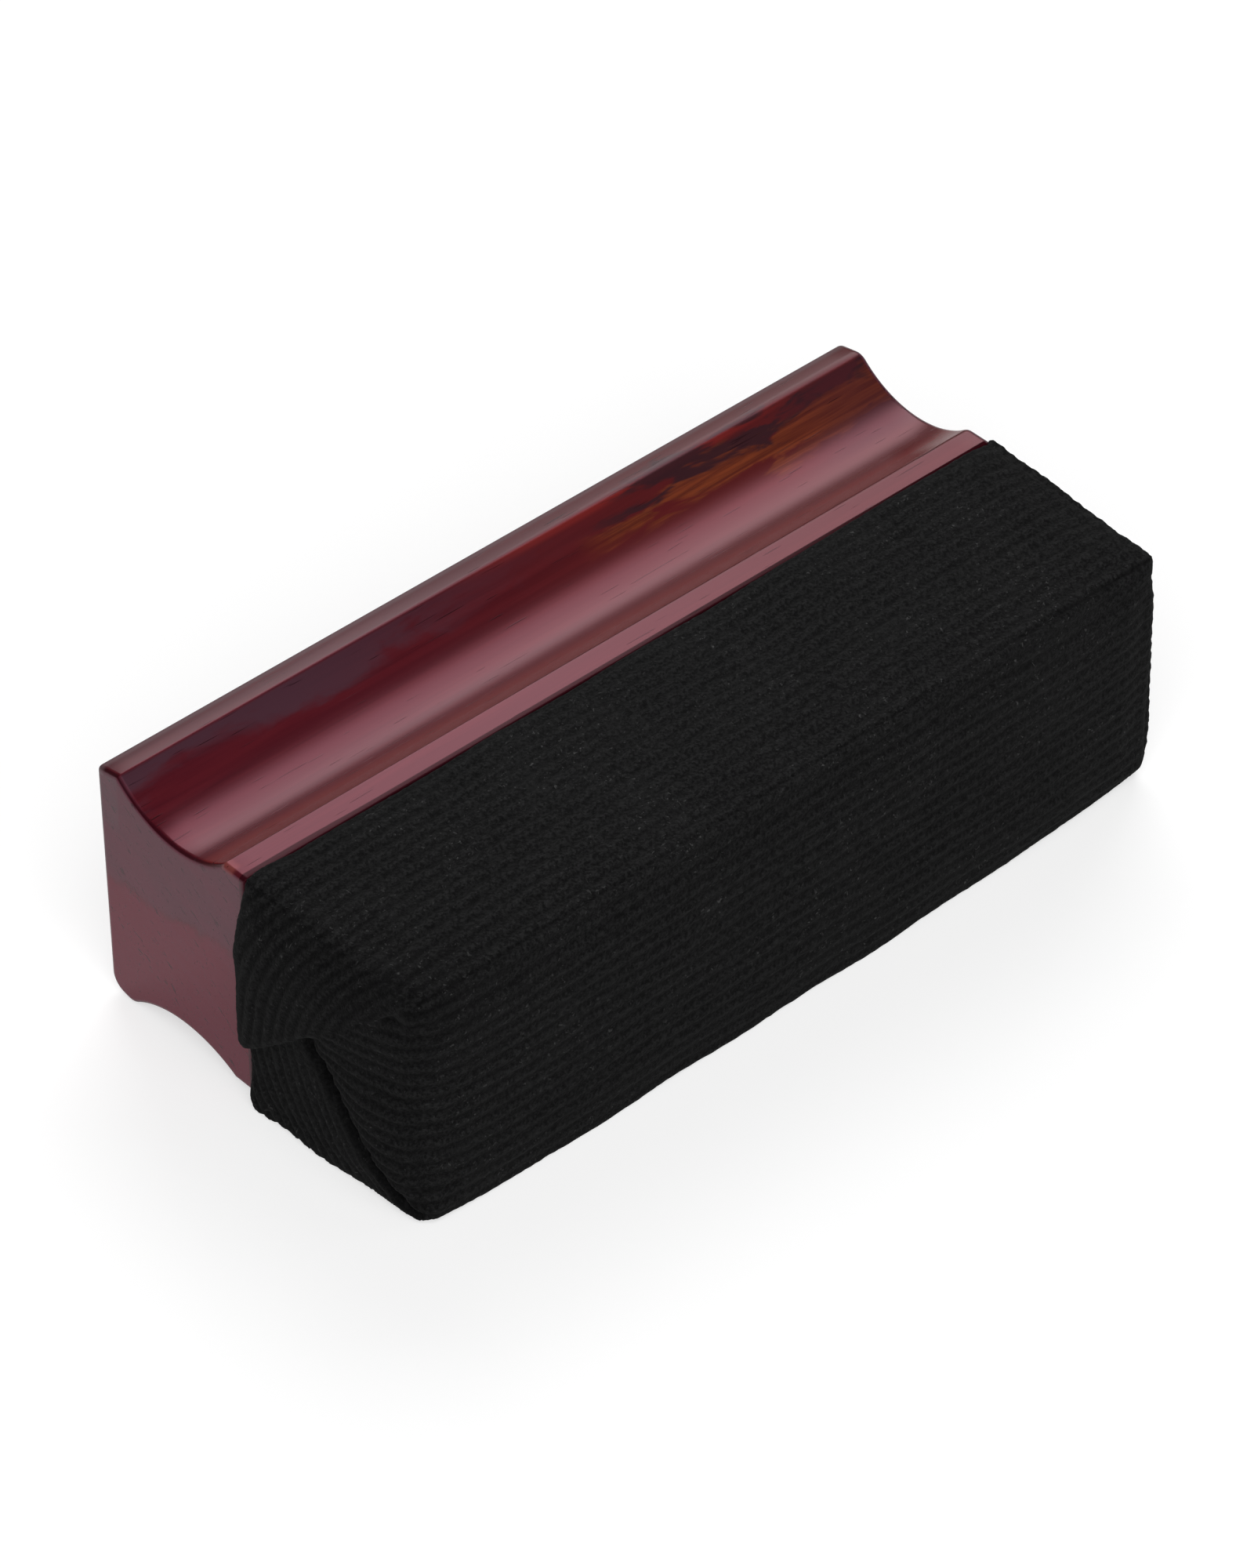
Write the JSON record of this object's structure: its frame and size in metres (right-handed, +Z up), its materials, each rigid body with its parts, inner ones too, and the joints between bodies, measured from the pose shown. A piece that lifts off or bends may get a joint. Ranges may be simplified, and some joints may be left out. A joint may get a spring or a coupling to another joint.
{
  "type": "chalkboard eraser",
  "caption": "Hand eraser for chalkboards: a coved, red-stained wooden handle on a thick foam pad wrapped in black corduroy with envelope-folded ends.",
  "frame": {"origin": "middle of the box's lower face: the eraser lies on one long side, as pictured, and the origin is on the surface under the middle of its length and height", "axes": "+X along the length, +Y from the wiping face towards the handle's flat back, +Z up, across the width"},
  "size_m": [0.1438, 0.0662, 0.042],
  "materials": {
    "stained_wood": "dark mahogany-red stain under satin lacquer",
    "dowel_wood": "plain turned beech",
    "plywood": "plain plywood",
    "foam": "open-cell sponge",
    "felt": "pressed wool felt",
    "corduroy": "black cotton corduroy, ribs along the length",
    "staple_wire": "zinc-plated wire"
  },
  "bodies": {
    "root": {"handle": "stained_wood", "handle_dowels": "dowel_wood", "core_board": "plywood", "foam_block": "foam", "felt_facing": "felt", "corduroy_cover": "corduroy", "cover_staples": "staple_wire"}
  },
  "joints": []
}
